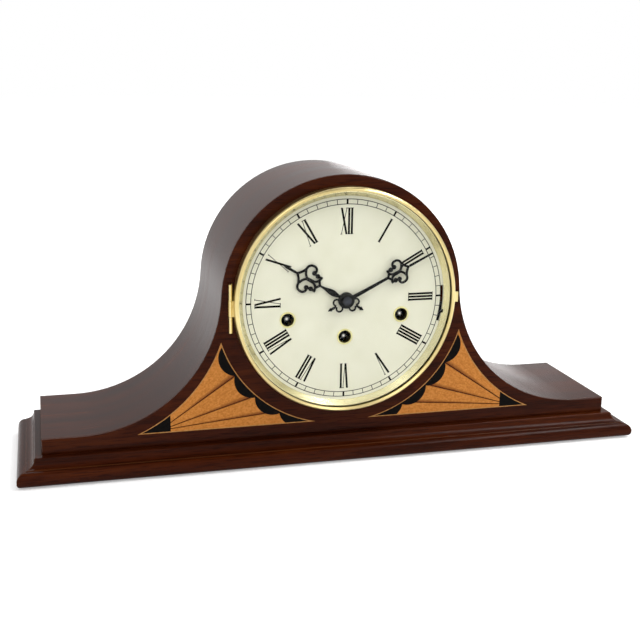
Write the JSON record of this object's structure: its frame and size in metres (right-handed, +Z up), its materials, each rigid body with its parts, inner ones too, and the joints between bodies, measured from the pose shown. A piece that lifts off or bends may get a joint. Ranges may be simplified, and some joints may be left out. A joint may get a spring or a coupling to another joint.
{
  "type": "mantel clock",
  "caption": "Round-arched mahogany mantel clock with inlaid fans, a hinged brass bezel over an ivory Roman dial, pierced hands and a three-train chiming movement.",
  "frame": {"origin": "centre of the bounding box in plan, on the shelf under the felt feet", "axes": "+X across the clock to the viewer's right, +Y from the dial to the back door, +Z up"},
  "size_m": [0.494, 0.131, 0.221],
  "materials": {
    "mahogany": "dark red-brown stained mahogany under satin lacquer",
    "stringing": "pale boxwood stringing under satin lacquer",
    "ebony": "black ebony veneer under satin lacquer",
    "satinwood": "satinwood veneer with scorched edges under satin lacquer",
    "dial_enamel": "ivory paint on sheet metal, printed in black",
    "brass": "polished and lacquered brass",
    "glass": "clear domed glass",
    "hand_black": "black-painted sheet metal",
    "steel": "bright steel",
    "magnet_black": "black plastic magnet catch",
    "felt": "dark green felt"
  },
  "bodies": {
    "case": {"base_panel": "mahogany", "base_moulding_front": "mahogany", "base_moulding_left": "mahogany", "base_moulding_right": "mahogany", "front_board": "mahogany", "top_wrap": "mahogany", "end_rails": "mahogany", "back_board": "mahogany", "felt_feet": "felt", "case_screws": "steel", "door_magnet": "magnet_black", "door_hinge_fixed": "brass", "door_hinge_pins": "brass", "inlay_stringing": "stringing", "inlay_ebony": "ebony", "inlay_flutes": "satinwood", "dial_plate": "dial_enamel", "winding_eyelets": "brass", "reflector_ring": "brass", "bezel_hinge_fixed": "brass", "bezel_hinge_pin": "brass", "front_plate": "brass", "back_plate": "brass", "pillars": "brass", "pillar_nuts": "steel", "movement_straps": "steel", "hammer_frame": "steel", "rod_block": "mahogany", "chime_rods": "brass"},
    "bezel": {"bezel_ring": "brass", "bezel_glass": "glass", "glass_retainer": "brass", "bezel_tab": "brass", "bezel_hinge_moving": "brass"},
    "back_door": {"back_door": "mahogany", "door_hinge_moving": "brass", "door_knob": "brass"},
    "silent_slider": {"silent_slider": "brass"},
    "minute_hand": {"centre_wheel": "brass", "cannon_pinion": "brass", "minute_hand": "hand_black", "hand_nut": "hand_black"},
    "hour_hand": {"hour_wheel": "brass", "hour_hand": "hand_black"},
    "minute_wheel": {"minute_wheel": "brass"},
    "time_barrel": {"time_barrel": "brass"},
    "strike_barrel": {"strike_barrel": "brass"},
    "chime_barrel": {"chime_barrel": "brass"},
    "time_winding": {"time_winding_arbor": "steel"},
    "strike_winding": {"strike_winding_arbor": "steel"},
    "chime_winding": {"chime_winding_arbor": "steel"},
    "third_wheel": {"third_wheel": "brass"},
    "escape_wheel": {"escape_wheel": "brass"},
    "pallet_lever": {"pallet_lever": "steel"},
    "balance": {"balance_wheel": "brass"},
    "chime_drum": {"chime_drum": "brass"},
    "hammer_1": {"hammer_1": "brass"},
    "hammer_2": {"hammer_2": "brass"},
    "hammer_3": {"hammer_3": "brass"},
    "hammer_4": {"hammer_4": "brass"}
  },
  "joints": [
    {"name": "bezel_hinge", "type": "hinge", "parent": "case", "child": "bezel", "pos_m": [-0.0883, -0.05, 0.1233], "axis": [0, 0, -1], "range_deg": [0, 105]},
    {"name": "back_door_hinge", "type": "hinge", "parent": "case", "child": "back_door", "pos_m": [-0.0603, 0.0585, 0.0903], "axis": [0, 0, 1], "range_deg": [0, 100]},
    {"name": "silent_slider_turn", "type": "hinge", "parent": "case", "child": "silent_slider", "pos_m": [0, -0.049, 0.1263], "axis": [0, 1, 0], "range_deg": [-9, 0]},
    {"name": "minute_hand_turn", "type": "hinge", "parent": "case", "child": "minute_hand", "pos_m": [0, -0.017, 0.1263], "axis": [0, 1, 0], "continuous": true},
    {"name": "hour_hand_turn", "type": "hinge", "parent": "case", "child": "hour_hand", "pos_m": [0, -0.017, 0.1263], "axis": [0, 1, 0], "continuous": true},
    {"name": "minute_wheel_turn", "type": "hinge", "parent": "case", "child": "minute_wheel", "pos_m": [-0.01559, -0.017, 0.1353], "axis": [0, 1, 0], "continuous": true},
    {"name": "time_barrel_turn", "type": "hinge", "parent": "case", "child": "time_barrel", "pos_m": [0, -0.017, 0.0973], "axis": [0, 1, 0], "continuous": true},
    {"name": "third_wheel_turn", "type": "hinge", "parent": "case", "child": "third_wheel", "pos_m": [0.0135, -0.017, 0.14239], "axis": [0, 1, 0], "continuous": true},
    {"name": "escape_wheel_turn", "type": "hinge", "parent": "case", "child": "escape_wheel", "pos_m": [0.00231, -0.017, 0.15572], "axis": [0, 1, 0], "continuous": true},
    {"name": "strike_barrel_turn", "type": "hinge", "parent": "case", "child": "strike_barrel", "pos_m": [-0.045, -0.017, 0.1128], "axis": [0, 1, 0], "continuous": true},
    {"name": "chime_barrel_turn", "type": "hinge", "parent": "case", "child": "chime_barrel", "pos_m": [0.045, -0.017, 0.1128], "axis": [0, 1, 0], "continuous": true},
    {"name": "chime_drum_turn", "type": "hinge", "parent": "case", "child": "chime_drum", "pos_m": [0.0401, -0.017, 0.08503], "axis": [0, 1, 0], "continuous": true},
    {"name": "time_winding_turn", "type": "hinge", "parent": "case", "child": "time_winding", "pos_m": [0, -0.017, 0.0973], "axis": [0, 1, 0], "continuous": true},
    {"name": "strike_winding_turn", "type": "hinge", "parent": "case", "child": "strike_winding", "pos_m": [-0.045, -0.017, 0.1128], "axis": [0, 1, 0], "continuous": true},
    {"name": "chime_winding_turn", "type": "hinge", "parent": "case", "child": "chime_winding", "pos_m": [0.045, -0.017, 0.1128], "axis": [0, 1, 0], "continuous": true},
    {"name": "pallet_lever_rock", "type": "hinge", "parent": "case", "child": "pallet_lever", "pos_m": [0.00231, -0.017, 0.16872], "axis": [0, 1, 0], "range_deg": [-5, 5]},
    {"name": "balance_swing", "type": "hinge", "parent": "case", "child": "balance", "pos_m": [-0.022, -0.017, 0.1663], "axis": [0, 1, 0], "range_deg": [-135, 135], "stiffness_Nm_per_rad": 0.00002},
    {"name": "hammer_1_swing", "type": "hinge", "parent": "case", "child": "hammer_1", "pos_m": [0.014, 0.013, 0.0763], "axis": [0, 1, 0], "range_deg": [-4, 10], "stiffness_Nm_per_rad": 0.1, "springref_deg": 0.46},
    {"name": "hammer_2_swing", "type": "hinge", "parent": "case", "child": "hammer_2", "pos_m": [0.014, 0.02038, 0.0763], "axis": [0, 1, 0], "range_deg": [-4, 10], "stiffness_Nm_per_rad": 0.1, "springref_deg": 0.46},
    {"name": "hammer_3_swing", "type": "hinge", "parent": "case", "child": "hammer_3", "pos_m": [0.014, 0.02775, 0.0763], "axis": [0, 1, 0], "range_deg": [-4, 10], "stiffness_Nm_per_rad": 0.1, "springref_deg": 0.46},
    {"name": "hammer_4_swing", "type": "hinge", "parent": "case", "child": "hammer_4", "pos_m": [0.014, 0.03513, 0.0763], "axis": [0, 1, 0], "range_deg": [-4, 10], "stiffness_Nm_per_rad": 0.1, "springref_deg": 0.46}
  ],
  "couplings": [
    {"joint": "hour_hand_turn", "follows": "minute_hand_turn", "ratio": 0.083333},
    {"joint": "minute_wheel_turn", "follows": "minute_hand_turn", "ratio": -0.33333},
    {"joint": "time_barrel_turn", "follows": "minute_hand_turn", "ratio": -0.28571},
    {"joint": "third_wheel_turn", "follows": "minute_hand_turn", "ratio": -6},
    {"joint": "escape_wheel_turn", "follows": "minute_hand_turn", "ratio": 37.5},
    {"joint": "chime_drum_turn", "follows": "chime_barrel_turn", "ratio": -4}
  ]
}
